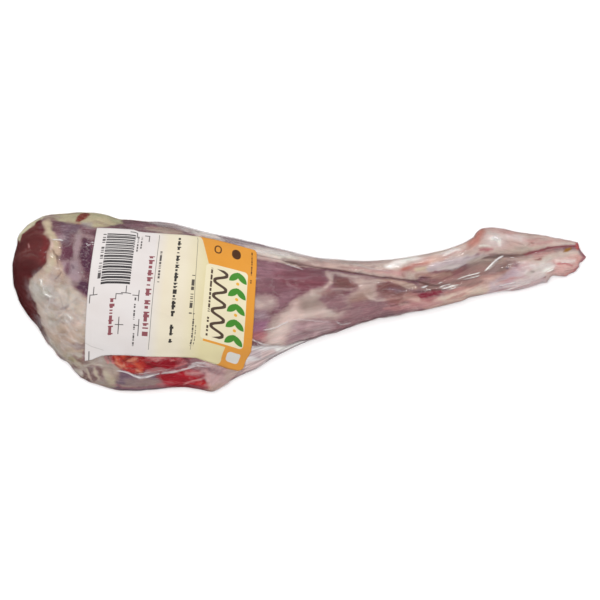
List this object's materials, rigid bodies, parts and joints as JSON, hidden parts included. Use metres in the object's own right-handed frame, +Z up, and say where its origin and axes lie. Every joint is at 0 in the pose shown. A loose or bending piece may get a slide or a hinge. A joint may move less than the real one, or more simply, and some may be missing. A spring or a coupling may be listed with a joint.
{
  "type": "wrapped kid goat leg",
  "caption": "Raw kid goat hind leg on the bone, from rump to hock, lying on its side in tight clear film with a printed paper label across the thigh.",
  "frame": {"origin": "centre of the base of the whole leg's box, on the surface that it lies on", "axes": "+X from the rump to the hock, +Y to the side of the heel tendon, +Z up out of the labelled side"},
  "size_m": [0.3686, 0.1166, 0.0636],
  "materials": {
    "film_over_meat": "raw pink and purple meat, fat and silverskin under tight clear glossy film",
    "label_paper": "smooth printed paper in cream and orange"
  },
  "bodies": {
    "root": {"wrapped_leg": "film_over_meat", "label": "label_paper"}
  },
  "joints": []
}
